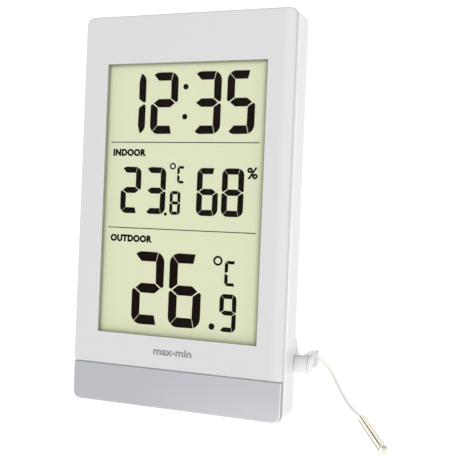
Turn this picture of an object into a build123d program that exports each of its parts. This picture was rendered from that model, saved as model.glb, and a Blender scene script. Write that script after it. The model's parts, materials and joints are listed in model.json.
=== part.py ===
"""Digital indoor and outdoor maximum-minimum thermometer with a plug-in wired probe.

The station is drawn upright: X across the front, Y from the face plate to the back, Z up from the
bottom edge of the face. stand() then leans it back on its rear edge and its fold-out foot.
"""
from build123d import *
from math import cos, tan, radians, pi
import os

# Driving dimensions, mm

# face plate, its window and the strip below it
face_width = 97.0
face_height = 169.0
face_corner = 3.5
face_depth = 1.9
face_edge = 0.75
strip_height = 16.65
strip_edge = 1.1
groove = 0.5
groove_edge = 0.25
groove_floor = 0.75
window_half = 36.9
window_low = 30.75
window_high = 147.95
window_corner = 0.6
lip_gap = 0.3
lip_wall = 1.2
lip_rear = 4.6
seat_rear = 3.4
hook_xs = [-30.0, 0.0, 30.0]
hook_half = 3.0
hook_low = 7.2
hook_rear = 4.3

# rear case
case_margin = 0.4
case_front = 2.1
case_back = 16.3
case_edge = 0.9
case_rear_edge = 0.8
wall = 2.0

# display stack and circuit board
lens_front = 1.3
lens_depth = 0.8
lens_overlap = 2.8
glass_front = 2.15
glass_ply = 1.0
glass_half = 39.0
glass_low = 28.5
glass_high = 150.5
ledge_height = 4.0
carrier_rim = 2.7
carrier_rear = 4.9
board_front = 5.4
board_depth = 1.6
board_width = 77.6
board_low = 20.0
board_high = 154.0
board_screw_x = 36.0
board_screw_zs = [24.0, 150.0]

# two cells side by side in a bay that stands out of the back
cell_radius = 7.25
cell_length = 50.0
cell_pitch = 15.2
cell_y = 16.8
cell_offset = 1.6
bay_half = 30.0
bay_low = 57.4
bay_high = 88.6
bay_floor = 9.1
bay_wall = 3.0
bay_skin = 1.4
hump_back = 26.7
hump_low = 56.0
hump_edge = 1.9
door_front = 24.6
door_back = 26.6
rail_front = 25.7
mouth_half = 28.8
track_low = 50.0
skirt_low = 53.6
skirt_high = 55.7

# buttons, reset hole, vents
button_xs = [-27.0, -9.0, 9.0, 27.0]
button_z = 104.0
button_width = 8.8
button_height = 4.8
button_gap = 0.3
button_proud = 0.8
flange_front = 12.8
flange_rear = 13.9
vent_x = -31.0
vent_low = 126.0
vent_pitch = 3.2
vent_count = 7
vent_length = 16.0
vent_height = 1.4

# fold-out foot and the recess it folds into
hinge_y = 14.4
hinge_z = 6.0
pin_radius = 1.2
foot_half = 24.2
foot_length = 38.0
foot_depth = 2.6
foot_taper = 4.0
pad_reach = 35.0
pocket_half = 24.5
pocket_low = 3.9
pocket_high = 45.4
pocket_floor = 12.8

# jack socket, its boss and the right-angle plug
socket_y = 17.0
socket_z = 22.5
socket_half = 2.5
socket_nose = 2.6
boss_near = 28.0
boss_ramp = [(14.8, 39.4), (24.2, 25.2), (24.2, 21.6), (22.2, 19.2), (14.8, 18.6)]
boss_room = [(13.3, 34.6), (22.6, 25.4), (22.6, 19.8), (13.3, 19.8)]
plug_radius = 3.7
plug_length = 7.0
plug_gap = 0.05
plug_rim = 0.7
tail_depth = 3.1
tail_inset = 0.5
tail_side = [(0.0, -2.3), (12.7, -2.3), (13.6, 4.4), (3.6, 5.1), (0.0, 3.4)]
tail_reach = 13.11
pin_reach = 14.0
jack_radius = 1.65

# screws of the rear case, wall hook
screw_x = 41.5
screw_zs = [10.0, 159.0]
post_radius = 3.6
post_front = 8.0
counterbore = 2.9
head_seat = 9.8
wall_hook_z = 150.0
wall_hook_radius = 4.0
wall_hook_slot = 2.0
wall_hook_rise = 9.0

# how the station stands
lean = 7.0
stand_off = 0.9
shift_y = -10.33

# two-core lead and its probe
cable_width = 1.4
cable_route = [
    (54.3, 21.80, 20.90),
    (58.8, 23.90, 15.60),
    (62.2, 22.20, 10.40),
    (66.2, 18.90, 5.30),
    (71.0, 14.20, 2.10),
    (75.0, 10.10, 1.70),
]
probe_near = (77.2, 5.5, 1.7)
probe_heading = (0.433, -0.901, 0.0)
probe_radius = 1.7
probe_length = 34.0
probe_wall = 0.3
probe_tip = 1.2
seal_length = 4.4

# Worked out from the driving dimensions
case_half = face_width / 2 + case_margin
case_low = -case_margin
case_high = face_height + case_margin
case_corner = face_corner + case_margin
inner_half = case_half - wall
inner_height = case_high - case_low - 2 * wall
window_height = window_high - window_low
window_z = (window_low + window_high) / 2
glass_rear = glass_front + 2 * glass_ply
board_rear = board_front + board_depth
cell_zs = [(bay_low + bay_high - cell_pitch) / 2, (bay_low + bay_high + cell_pitch) / 2]
clear = 0.02
beyond = 60.0


# Small helpers

def block(x0, x1, y0, y1, z0, z1):
    """A box between two corners."""
    middle = Pos((x0 + x1) / 2, (y0 + y1) / 2, (z0 + z1) / 2)
    return middle * Box(x1 - x0, y1 - y0, z1 - z0)


def panel(outline, y0, y1):
    """An outline drawn in X and Z, given depth from y0 to y1."""
    return Pos(0, y1, 0) * extrude(Plane.XZ * outline, amount=y1 - y0)


def side_profile(points, x0, x1):
    """An outline of (y, z) points, given width from x0 to x1."""
    side = Plane.YZ * make_face(Polyline(points, close=True))
    return Pos(x0, 0, 0) * extrude(side, amount=x1 - x0)


def rounded(width, height, radius, x=0.0, z=0.0):
    """A rounded rectangle centred on (x, z)."""
    return Pos(x, z) * RectangleRounded(width, height, radius)


def rod_y(radius, x, z, y0, y1):
    """A cylinder that runs front to back."""
    return Pos(x, (y0 + y1) / 2, z) * Rot(90, 0, 0) * Cylinder(radius, y1 - y0)


def rod_x(radius, x0, x1, y, z):
    """A cylinder that runs across."""
    return Pos((x0 + x1) / 2, y, z) * Rot(0, 90, 0) * Cylinder(radius, x1 - x0)


def spun_x(profile, x, y, z):
    """A profile of (length, radius) points, turned about an axis along X."""
    flat = make_face(Polyline(profile, close=True))
    return Pos(x, y, z) * revolve(flat, axis=Axis.X)


def bead(radius):
    """A small glass bead: a barrel that is bevelled twice at each end, about Z."""
    half = [(0, radius), (0.45 * radius, 0.9 * radius), (0.9 * radius, 0.45 * radius), (radius, 0)]
    outline = [(r, z) for r, z in half] + [(r, -z) for r, z in reversed(half[:-1])]
    flat = Plane.XZ * make_face(Polyline(outline, close=True))
    return revolve(flat, axis=Axis.Z)


# Front

def face_blank(edge):
    """The whole front outline as one plate with a rounded front edge."""
    plate = panel(rounded(face_width, face_height, face_corner, z=face_height / 2), 0, face_depth)
    front_loop = plate.edges().group_by(Axis.Y)[0]
    return fillet(front_loop, edge)


def front_frame():
    """Upper face plate with the display window, its rear lip, screw bosses and the strip's seat."""
    low = strip_height + groove
    plate = face_blank(face_edge) & block(-beyond, beyond, -1, seat_rear, low, face_height + 1)
    lower_edge = plate.edges().filter_by(Axis.X).group_by(Axis.Z)[0].sort_by(Axis.Y)[0]
    plate = fillet(lower_edge, groove_edge)
    window = panel(rounded(2 * window_half, window_height, window_corner, z=window_z), -1, seat_rear)
    rebate_height = window_height + 2 * lens_overlap + 0.2
    rebate = rounded(2 * (window_half + lens_overlap), rebate_height, 1.5, z=window_z)
    plate = plate - window - panel(rebate, lens_front - 0.05, seat_rear)

    seat_half = inner_half - 0.5
    seat = block(-seat_half, seat_half, 2.0, seat_rear, 2.2, low + 4)
    seat = seat + block(-seat_half, seat_half, 1.8, seat_rear, low + 1, low + 4)
    rib_half = face_width / 2 - strip_edge
    seat = seat + block(-rib_half, rib_half, groove_floor, 2.1, strip_height + 0.05, low + 0.3)
    outer = rounded(2 * (inner_half - lip_gap), inner_height - 2 * lip_gap, 1.8, z=face_height / 2)
    reach = lip_gap + lip_wall
    inner = rounded(2 * (inner_half - reach), inner_height - 2 * reach, 0.8, z=face_height / 2)
    lip = panel(outer - inner, 1.8, lip_rear) - block(-beyond, beyond, 0, 2.0, -5, low)
    frame = plate + seat + lip
    for x in (-screw_x, screw_x):
        for z in screw_zs:
            frame = frame + rod_y(3.0, x, z, 1.85 if z > low else 2.0, post_front - 0.1)
            frame = frame - rod_y(pin_radius, x, z, 2.8, post_front + 0.5)
    for x in hook_xs:
        slot_half = hook_half + 0.2
        frame = frame - block(x - slot_half, x + slot_half, 1.0, 5.0, hook_low - 0.2, hook_low + 1.4)
    return frame


def base_strip():
    """Lower front strip with three snap hooks through the frame's seat."""
    strip = face_blank(strip_edge) & block(-beyond, beyond, -1, seat_rear, -1, strip_height)
    upper_edge = strip.edges().filter_by(Axis.X).group_by(Axis.Z)[-1].sort_by(Axis.Y)[0]
    strip = fillet(upper_edge, groove_edge)
    for x in hook_xs:
        ends = (x - hook_half, x + hook_half)
        strip = strip + block(*ends, 1.8, hook_rear, hook_low, hook_low + 1)
        strip = strip + block(*ends, hook_rear - 0.75, hook_rear, hook_low, hook_low + 2)
    return strip


# Display stack

def display_lens():
    """Clear window plate bonded into the rebate behind the face plate."""
    grow = 2 * lens_overlap - 0.4
    outline = rounded(2 * window_half + grow, window_height + grow + 0.2, 1.3, z=window_z)
    return panel(outline, lens_front, lens_front + lens_depth)


def lcd_glass():
    """Two plies of glass; the front ply is taller and leaves a contact ledge at the bottom."""
    middle = glass_front + glass_ply
    front_ply = block(-glass_half, glass_half, glass_front, middle, glass_low, glass_high)
    rear_ply = block(-glass_half, glass_half, middle, glass_rear, glass_low + ledge_height, glass_high)
    return front_ply + rear_ply


def lcd_reflector():
    """Reflective polariser sheet behind the glass."""
    half = glass_half - 0.6
    low = glass_low + ledge_height + 0.7
    return block(-half, half, glass_rear + 0.03, glass_rear + 0.28, low, glass_high - 0.5)


def lcd_carrier():
    """Moulded frame round the glass, with posts that space the circuit board."""
    middle = (glass_low + glass_high) / 2
    height = glass_high - glass_low
    inner = rounded(2 * glass_half + 0.6, height + 0.6, 0.6, z=middle)
    outer = rounded(2 * (glass_half + carrier_rim), height + 2 * carrier_rim + 1, 2.0, z=middle)
    carrier = panel(outer - inner, glass_front + 0.05, carrier_rear)
    post_x = glass_half + 1.4
    for z in (40.0, 90.0, 140.0):
        for x in (-post_x, post_x):
            carrier = carrier + block(x - 1.1, x + 1.1, carrier_rear - 0.1, board_front - 0.05, z - 4, z + 4)
        for side in (-1, 1):
            ends = sorted((side * (glass_half + 0.6), side * (glass_half + 2.6)))
            carrier = carrier + block(*ends, carrier_rear - 0.1, board_rear + 0.4, z - 1.5, z + 1.5)
    return carrier


def zebra_strip():
    """Conductive rubber strip between the glass ledge and the circuit board."""
    half = glass_half - 3
    ledge = glass_front + glass_ply
    return block(-half, half, ledge + 0.03, board_front - 0.03, glass_low + 0.7, glass_low + 3.3)


# Electronics

def main_board():
    """Circuit board with holes for its screws."""
    middle = (board_low + board_high) / 2
    board = panel(rounded(board_width, board_high - board_low, 2.0, z=middle), board_front, board_rear)
    for x in (-board_screw_x, board_screw_x):
        for z in board_screw_zs:
            board = board - rod_y(1.3, x, z, board_front - 1, board_rear + 1)
    return board


def board_screws():
    """Four small screws through the circuit board's corners."""
    screws = []
    for x in (-board_screw_x, board_screw_x):
        for z in board_screw_zs:
            head = rod_y(2.0, x, z, board_rear + clear, board_rear + 1.4)
            screws.append(head + rod_y(1.0, x, z, carrier_rear + 0.05, board_rear + 0.1))
    return Compound(children=screws)


def driver_chip():
    """Low resin cap over the display driver."""
    cap = rod_y(8.5, 0, 118, board_rear + clear, board_rear + 1.7)
    rear_rim = cap.edges().group_by(Axis.Y)[-1]
    return chamfer(rear_rim, 0.9)


def clock_crystal():
    """Tuning-fork crystal in its can, lying on the board, with two legs."""
    height = board_rear + 1.05
    crystal = rod_x(1.0, 15.0, 21.0, height, 126.0)
    for dz in (-0.35, 0.35):
        crystal = crystal + rod_x(0.16, 12.5, 15.2, height, 126.0 + dz)
    return crystal


def humidity_sensor():
    """Slotted plastic case of the humidity element."""
    body = block(-34.5, -26.5, board_rear + clear, board_rear + 3.4, 126, 138)
    for step in range(4):
        z = 128.0 + step * 2.6
        body = body - block(-33.0, -28.0, board_rear + 1.4, board_rear + 4.0, z, z + 1.1)
    return body


def indoor_thermistor():
    """Glass bead on two legs beside the vents."""
    height = board_rear + 4.2
    sensor = Pos(-22.0, height, 134.0) * bead(1.1)
    for dx in (-0.55, 0.55):
        sensor = sensor + rod_y(0.2, -22.0 + dx, 134.0, board_rear + clear, height)
    return sensor


def key_switches():
    """One tactile switch on the board under each rear button."""
    switches = []
    for x in button_xs:
        body = block(x - 3, x + 3, board_rear + clear, board_rear + 2.5, button_z - 3, button_z + 3)
        switches.append(body + rod_y(1.7, x, button_z, board_rear + 2.4, board_rear + 3.6))
    return Compound(children=switches)


def sensor_socket():
    """Jack socket with a round nose that fills the hole in the side wall."""
    front = socket_y - socket_half - 0.5
    rear = socket_y + socket_half + 0.5
    near = case_half - wall - 0.6
    body = block(32.6, near, front, rear, socket_z - socket_half, socket_z + socket_half)
    body = body + rod_x(socket_nose, near - 0.2, case_half - 0.2, socket_y, socket_z)
    return body - rod_x(jack_radius + 0.15, case_half - pin_reach - 1.1, case_half + 1, socket_y, socket_z)


def socket_contacts():
    """Solder lugs of the jack's two spring contacts."""
    lugs = []
    rear = socket_y - socket_half - 0.53
    for x in (35.5, 43.5):
        lugs.append(block(x - 0.9, x + 0.9, 11.0, rear, socket_z - 0.25, socket_z + 0.25))
    return Compound(children=lugs)


# Rear case

def case_shell():
    """Outer form of the tray: rounded outline, rounded front and rear edges."""
    middle = (case_low + case_high) / 2
    outline = rounded(2 * case_half, case_high - case_low, case_corner, z=middle)
    body = panel(outline, case_front, case_back)
    body = fillet(body.edges().group_by(Axis.Y)[0], case_edge)
    return fillet(body.edges().group_by(Axis.Y)[-1], case_rear_edge)


def case_hollow():
    """Room inside the tray, open at the front."""
    middle = (case_low + case_high) / 2
    outline = rounded(2 * inner_half, inner_height, case_corner - wall, z=middle)
    return panel(outline, case_front - 1, case_back - wall)


def battery_hump():
    """Outer form of the battery bay, open below for the sliding door."""
    half = bay_half + bay_wall
    hump = block(-half, half, case_back - 1, hump_back, hump_low, bay_high + 3.4)
    rear_face = hump.faces().sort_by(Axis.Y)[-1]
    rims = rear_face.edges().filter_by(Axis.Z) + [rear_face.edges().sort_by(Axis.Z)[-1]]
    corners = hump.edges().filter_by(Axis.Y).group_by(Axis.Z)[-1]
    return fillet(list(rims) + list(corners), hump_edge)


def battery_box():
    """Closed pocket for the cells, between the board and the rear wall."""
    half = bay_half + bay_skin
    return block(-half, half, bay_floor - bay_skin, case_back - 1, bay_low - bay_skin, bay_high + bay_skin)


def battery_space():
    """Room for the cells, the rails' undercut and the door's plate."""
    top = bay_high + 0.6
    cells = block(-bay_half, bay_half, bay_floor, door_front - 0.2, bay_low, bay_high)
    track = block(-bay_half, bay_half, door_front - 0.3, rail_front, track_low, top)
    mouth = block(-mouth_half, mouth_half, rail_front - 0.1, hump_back + 1, track_low, top)
    return cells + track + mouth


def cell_cradles():
    """Curved ribs that the two cells lie in."""
    ribs = block(-18, -16.4, bay_floor - 0.1, cell_y, bay_low, bay_high)
    ribs = ribs + Pos(34.4, 0, 0) * ribs
    for z in cell_zs:
        ribs = ribs - rod_x(cell_radius + 0.15, -cell_length / 2, cell_length / 2, cell_y, z)
    return ribs - block(-bay_half, bay_half, 13.2, bay_half, bay_low - 1, bay_high + 1)


def socket_boss():
    """Boss behind the jack socket: a long ramp above, a short one below."""
    boss = side_profile(boss_ramp, boss_near, case_half - 0.6)
    crest = [edge for edge in boss.edges().filter_by(Axis.X) if 23.5 < edge.center().Y]
    return fillet(crest, 1.2)


def foot_pocket():
    """Walls of the recess that the foot folds into."""
    half = pocket_half + 1.8
    return block(-half, half, pocket_floor - bay_skin, case_back - 1, 1.0, pocket_high + 1.6)


def foot_space():
    """Room for the folded foot, with a scoop for a fingernail at its tip."""
    outline = rounded(2 * pocket_half, pocket_high - pocket_low, 1.0, z=(pocket_low + pocket_high) / 2)
    scoop = rod_x(7.0, -8, 8, case_back + 3.2, pocket_high)
    scoop = scoop - block(-8, 8, 0, pocket_floor, pocket_high - 8, pocket_high + 8)
    return panel(outline, pocket_floor, case_back + 1) + scoop


def wall_openings():
    """Everything that is cut through the rear wall: button holes, keyhole, vents, reset hole."""
    front = case_back - wall - 1.5
    rear = case_back + 1
    openings = [rod_y(0.9, 0, button_z + 10, front, rear)]
    for x in button_xs:
        hole = rounded(button_width + 2 * button_gap, button_height + 2 * button_gap, 1.8, x=x, z=button_z)
        openings.append(panel(hole, front, rear))
    for row in range(vent_count):
        slot = rounded(vent_length, vent_height, 0.49 * vent_height, x=vent_x, z=vent_low + row * vent_pitch)
        openings.append(panel(slot, front, rear))
    slot_top = wall_hook_z + wall_hook_rise
    openings.append(rod_y(wall_hook_radius, 0, wall_hook_z, front, rear))
    openings.append(block(-wall_hook_slot, wall_hook_slot, front, rear, wall_hook_z, slot_top))
    openings.append(rod_y(wall_hook_slot, 0, slot_top, front, rear))
    return openings


def rear_case():
    """White rear case with battery bay, jack boss, foot recess, vents, keyhole and screw posts."""
    shell = case_shell() + battery_hump() + socket_boss()
    hollow = case_hollow() - battery_box() - foot_pocket()
    for x in (-screw_x, screw_x):
        for z in screw_zs:
            hollow = hollow - rod_y(post_radius, x, z, post_front, case_back)
    jack_room = side_profile(boss_room, boss_near + 1.6, case_half - 2.4)
    case = shell - hollow - battery_space() - foot_space() - jack_room
    case = case + cell_cradles()
    for x in (-screw_x, screw_x):
        for z in screw_zs:
            case = case - rod_y(counterbore, x, z, head_seat, case_back + 1)
            case = case - rod_y(1.5, x, z, post_front - 1, head_seat + 0.2)
    for opening in wall_openings():
        case = case - opening
    pin_end = pocket_half + 1.3
    case = case - rod_x(pin_radius + 0.06, -pin_end, pin_end, hinge_y, hinge_z)
    return case - rod_x(socket_nose + 0.1, case_half - 4.9, case_half + 1, socket_y, socket_z)


def case_screws():
    """Four self-tapping screws that hold the rear case to the face plate."""
    screws = []
    top = head_seat + 1.8
    for x in (-screw_x, screw_x):
        for z in screw_zs:
            head = rod_y(2.6, x, z, head_seat + clear, top)
            head = chamfer(head.edges().group_by(Axis.Y)[-1], 0.5)
            head = head - block(x - 1.5, x + 1.5, top - 0.6, top + 1, z - 0.3, z + 0.3)
            head = head - block(x - 0.3, x + 0.3, top - 0.6, top + 1, z - 1.5, z + 1.5)
            screws.append(head + rod_y(1.15, x, z, 3.4, head_seat + 0.1))
    return Compound(children=screws)


# Power

def battery(z, way):
    """One cell with its positive button at the +X end (way 1) or the -X end (way -1)."""
    half = cell_length / 2
    shoulder = half - 1.0
    outline = [(-half, 0), (-half, cell_radius - 1.2), (-half + 0.6, cell_radius - 0.4),
               (-half + 0.6, cell_radius), (shoulder - 0.4, cell_radius), (shoulder, cell_radius - 0.6),
               (shoulder, 2.75), (half, 2.75), (half, 0)]
    cell = spun_x(outline, 0, 0, 0)
    turn = Rot(0, 0, 0 if way > 0 else 180)
    return Pos(-way * cell_offset, cell_y, z) * turn * cell


def battery_contacts():
    """Four nickel contact plates, two of them dished to meet the cells' buttons."""
    plates = []
    outer = bay_half - 0.05
    inner = bay_half - 0.5
    button_end = cell_length / 2 - cell_offset + 0.05
    for z, way in zip(cell_zs, (1, -1)):
        for side in (way, -way):
            ends = sorted((side * outer, side * inner))
            plate = block(*ends, cell_y - 6, cell_y + 5, z - 5.5, z + 5.5)
            if side == way:
                plate = plate + rod_x(2.4, *sorted((side * inner, side * button_end)), cell_y, z)
            plates.append(plate)
    return Compound(children=plates)


def battery_springs():
    """Folded leaf springs at the cells' negative ends."""
    springs = []
    root = bay_half - 0.95
    touch = cell_length / 2 + cell_offset + 0.05
    bent = [(root, 5.0), (touch + 0.3, 1.6), (touch, 0.9), (touch, -0.9), (touch + 0.3, -1.6),
            (root - 0.9, -4.6)]
    leaf_side = make_face(Polyline(bent + [(x + 0.4, y) for x, y in reversed(bent)], close=True))
    leaf = Pos(0, 0, -2.5) * extrude(leaf_side, amount=5.0)
    for z, way in zip(cell_zs, (1, -1)):
        turn = Rot(0, 0, 180 if way > 0 else 0)
        springs.append(Pos(0, cell_y, z) * turn * leaf)
    return Compound(children=springs)


def battery_door():
    """Sliding door with edge flanges under the rails, a skirt below and a ribbed thumb grip."""
    top = bay_high + 0.3
    half = bay_half + bay_wall
    skirt = block(-half, half, case_back + 0.3, door_back, skirt_low, skirt_high)
    skirt = fillet(skirt.edges().filter_by(Axis.Z).group_by(Axis.Y)[-1], hump_edge)
    skirt = fillet(skirt.faces().sort_by(Axis.Z)[0].edges().sort_by(Axis.Y)[-1], 1.0)
    plate = block(0.3 - mouth_half, mouth_half - 0.3, door_front, door_back, skirt_high - 0.7, top)
    flanges = block(0.3 - bay_half, bay_half - 0.3, door_front, rail_front - 0.3, hump_low + 1, top)
    door = skirt + plate + flanges
    for row in range(5):
        reach = 11.0 - abs(row - 2) * 1.2
        rib = rounded(2 * reach, 1.0, 0.49, z=61.0 + row * 2.4)
        door = door - panel(rib, door_back - 0.6, door_back + 1)
    return door


# Buttons

def rear_button(x):
    """Push button: bevelled cap through the wall, a flange behind it and a stem to its switch."""
    cap_outline = rounded(button_width, button_height, 1.5, x=x, z=button_z)
    flange_outline = rounded(button_width + 2.4, button_height + 2.4, 1.5, x=x, z=button_z)
    cap = panel(cap_outline, flange_front, case_back + button_proud)
    cap = chamfer(cap.edges().group_by(Axis.Y)[-1], 0.35)
    flange = panel(flange_outline, flange_front, flange_rear)
    stem = rod_y(1.5, x, button_z, flange_front - 1.1, flange_front + 0.2)
    return cap + flange + stem


# Foot

def fold_out_foot():
    """Foot with two hinge pins, a barrel at its heel, tapered sides and a ribbed underside."""
    half = foot_depth / 2
    tip_half = foot_half - foot_taper
    outline = [(-foot_half, 0), (foot_half, 0), (foot_half, 14), (tip_half, foot_length),
               (-tip_half, foot_length), (-foot_half, 14)]
    plate = extrude(make_face(Polyline(outline, close=True)), amount=foot_depth)
    tips = plate.edges().filter_by(Axis.Z).group_by(Axis.Y)[-1]
    plate = Pos(0, 0, -half) * fillet(tips, 5.0)
    for x0, x1 in ((-19.0, -7.0), (-5.6, 5.6), (7.0, 19.0)):
        plate = plate - block(x0, x1, 6.0, 29.0, -half - 1, 0)
    foot = plate + rod_x(1.5, -foot_half, foot_half, 0, 0)
    foot = foot + rod_x(pin_radius, -pocket_half - 1.0, pocket_half + 1.0, 0, 0)
    return Pos(0, hinge_y, hinge_z) * foot


def foot_pads():
    """Two rubber pads under the foot's tip, cut flat to the ground."""
    middle = hinge_y + pad_reach
    low = ground_height(middle) - 2
    pads = []
    for x in (-12.0, 12.0):
        pad = block(x - 4, x + 4, middle - 2.5, middle + 2.5, low, hinge_z - foot_depth / 2)
        pads.append(pad - below_ground())
    return Compound(children=pads)


def base_pads():
    """Two wedge-shaped rubber strips under the case's rear edge."""
    pads = []
    for x in (-34.0, 34.0):
        pads.append(block(x - 9, x + 9, 10.8, case_back - 1.0, -4, case_low) - below_ground())
    return Compound(children=pads)


def ground_height(y):
    """Height of the table in the upright drawing, at depth y."""
    return (y - case_back) * tan(radians(lean)) - stand_off / cos(radians(lean))


def below_ground():
    """Everything under the table, in the upright drawing."""
    table = Pos(0, 0, -50) * Box(300, 300, 100)
    return Pos(0, case_back, -stand_off / cos(radians(lean))) * Rot(lean, 0, 0) * table


# Plug, cable and probe

def plug_body():
    """Right-angle plug: a round grip against the case and a humped tail that leads the cable back."""
    near = case_half + plug_gap
    far = near + plug_length
    grip = rod_x(plug_radius, near, far, socket_y, socket_z)
    grip = fillet(grip.edges().group_by(Axis.X)[-1], plug_rim)
    grip = chamfer(grip.edges().group_by(Axis.X)[0], 0.3)
    side = [(socket_y + y, socket_z + z) for y, z in tail_side]
    tail = side_profile(side, far - tail_inset - tail_depth, far - tail_inset)
    back_face = tail.faces().sort_by(Axis.Y)[-1]
    tail = chamfer(back_face.edges(), 0.3)
    return grip + tail - rod_x(jack_radius + 0.05, near - 1, near + 2, socket_y, socket_z)


def plug_pin():
    """Nickel jack pin with its tip groove; its root is held in the plug."""
    root = case_half + plug_gap + 2.0
    tip = case_half - pin_reach
    profile = [(root, 0), (root, jack_radius), (tip + 3.4, jack_radius), (tip + 2.9, 1.15), (tip + 2.5, 1.15),
               (tip + 1.6, 1.6), (tip + 0.3, 0.7), (tip, 0.35), (tip, 0)]
    return spun_x(profile, 0, socket_y, socket_z)


def cable_exit():
    """Middle of the tail's rear face, where the cable starts."""
    x = case_half + plug_gap + plug_length - tail_inset - tail_depth / 2
    return Vector(x, socket_y + tail_reach, socket_z)


def cable_points():
    """The cable's corners on the standing station, from the plug to the probe's mouth."""
    start = (stand() * Pos(*cable_exit())).position
    route = [Vector(x, y + shift_y, z) for x, y, z in cable_route]
    return [start] + route + [probe_mouth()]


def corner_radii(points):
    """Radius at each corner: 0.45 of its shorter run over the tangent of half its turn."""
    radii = []
    for before, corner, after in zip(points, points[1:], points[2:]):
        first = corner - before
        second = after - corner
        half_turn = radians(first.get_angle(second)) / 2
        radii.append(0.45 * min(first.length, second.length) / tan(half_turn))
    return radii


def sensor_cable():
    """Two-core lead from the plug's tail to the probe, already in its standing place."""
    points = cable_points()
    radii = corner_radii(points)
    path = FilletPolyline(*points, radius=radii)
    section = Plane(origin=path @ 0, z_dir=path % 0) * Circle(cable_width / 2)
    tube = sweep(section, path=path)
    print("cable radii", [round(r, 1) for r in radii], "length", round(path.length, 1))
    print("cable volume", round(tube.volume, 1), "section x length",
          round(pi * cable_width ** 2 / 4 * path.length, 1))
    return tube


def probe_mouth():
    return Vector(probe_near[0], probe_near[1] + shift_y, probe_near[2])


def probe_place():
    """The probe's own axis: Z runs from its mouth to its far end."""
    return Location(Plane(origin=probe_mouth(), z_dir=probe_heading))


def probe_tube():
    """Drawn metal sleeve, open where the cable enters, rounded at its far end."""
    bore_depth = probe_length - 0.8
    sleeve = Pos(0, 0, probe_length / 2) * Cylinder(probe_radius, probe_length)
    sleeve = fillet(sleeve.edges().group_by(Axis.Z)[-1], probe_tip)
    bore = Pos(0, 0, bore_depth / 2 - 0.5) * Cylinder(probe_radius - probe_wall, bore_depth + 1)
    return probe_place() * (sleeve - bore)


def probe_seal():
    """Potting plug in the sleeve's mouth."""
    seal = Pos(0, 0, 0.4 + seal_length / 2) * Cylinder(probe_radius - probe_wall - 0.01, seal_length)
    return probe_place() * seal


def probe_thermistor():
    """Sensing bead near the sleeve's far end, with its two legs."""
    leg_start = seal_length + 0.5
    leg_end = probe_length - 4.0
    sensor = Pos(0, 0, leg_end) * bead(1.0)
    for x in (-0.45, 0.45):
        sensor = sensor + Pos(x, 0, (leg_start + leg_end) / 2) * Cylinder(0.18, leg_end - leg_start)
    return probe_place() * sensor


# Placing and writing

def stand():
    """From the upright drawing to the station leaning on the table."""
    return Pos(0, shift_y, stand_off) * Rot(-lean, 0, 0) * Pos(0, -case_back, 0)


def upright_parts():
    parts = {
        "front_frame": front_frame(),
        "base_strip": base_strip(),
        "display_lens": display_lens(),
        "lcd_glass": lcd_glass(),
        "lcd_reflector": lcd_reflector(),
        "lcd_carrier": lcd_carrier(),
        "zebra_strip": zebra_strip(),
        "main_board": main_board(),
        "board_screws": board_screws(),
        "driver_chip": driver_chip(),
        "clock_crystal": clock_crystal(),
        "humidity_sensor": humidity_sensor(),
        "indoor_thermistor": indoor_thermistor(),
        "key_switches": key_switches(),
        "sensor_socket": sensor_socket(),
        "socket_contacts": socket_contacts(),
        "rear_case": rear_case(),
        "case_screws": case_screws(),
        "battery_lower": battery(cell_zs[0], 1),
        "battery_upper": battery(cell_zs[1], -1),
        "battery_contacts": battery_contacts(),
        "battery_springs": battery_springs(),
        "battery_door": battery_door(),
        "fold_out_foot": fold_out_foot(),
        "foot_pads": foot_pads(),
        "base_pads": base_pads(),
        "plug_body": plug_body(),
        "plug_pin": plug_pin(),
    }
    for name, x in zip(("set_button", "plus_button", "max_min_button", "unit_button"), button_xs):
        parts[name] = rear_button(x)
    return parts


def standing_parts():
    return {
        "sensor_cable": sensor_cable(),
        "probe_tube": probe_tube(),
        "probe_seal": probe_seal(),
        "probe_thermistor": probe_thermistor(),
    }


def write_parts():
    os.makedirs("parts", exist_ok=True)
    placed = {name: stand() * shape for name, shape in upright_parts().items()}
    placed.update(standing_parts())
    for name, shape in placed.items():
        export_step(shape, f"parts/{name}.step")


write_parts()
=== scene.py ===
import json
import math

import bmesh
import bpy
from mathutils import Matrix, Vector


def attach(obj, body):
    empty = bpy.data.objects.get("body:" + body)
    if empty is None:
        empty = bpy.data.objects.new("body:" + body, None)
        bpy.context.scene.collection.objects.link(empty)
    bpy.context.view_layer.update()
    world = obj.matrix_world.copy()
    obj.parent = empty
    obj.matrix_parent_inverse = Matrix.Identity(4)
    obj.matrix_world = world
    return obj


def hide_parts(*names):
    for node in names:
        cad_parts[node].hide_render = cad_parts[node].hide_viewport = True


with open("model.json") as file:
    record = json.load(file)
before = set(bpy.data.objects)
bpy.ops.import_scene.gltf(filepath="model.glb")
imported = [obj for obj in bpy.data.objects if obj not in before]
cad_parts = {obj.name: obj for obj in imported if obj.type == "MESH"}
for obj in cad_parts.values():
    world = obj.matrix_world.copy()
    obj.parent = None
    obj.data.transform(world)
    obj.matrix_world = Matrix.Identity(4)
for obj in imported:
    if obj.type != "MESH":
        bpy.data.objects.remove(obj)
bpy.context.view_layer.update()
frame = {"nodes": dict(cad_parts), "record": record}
record = frame["record"]
scene = bpy.context.scene
scene.view_settings.view_transform = "Standard"
mm = 0.001

# sizes in mm in the upright drawing: x across, y from the face to the back, z up the face
station = {"hookDepth": 15.3, "hookHeight": 150.0, "glass": 2.15, "back": 16.3, "faceHalf": 48.5,
           "windowHalf": 36.9, "windowLow": 30.75, "windowHigh": 147.95}


def findByName(items, name):
    return next(item for item in items if item["name"] == name)


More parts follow.
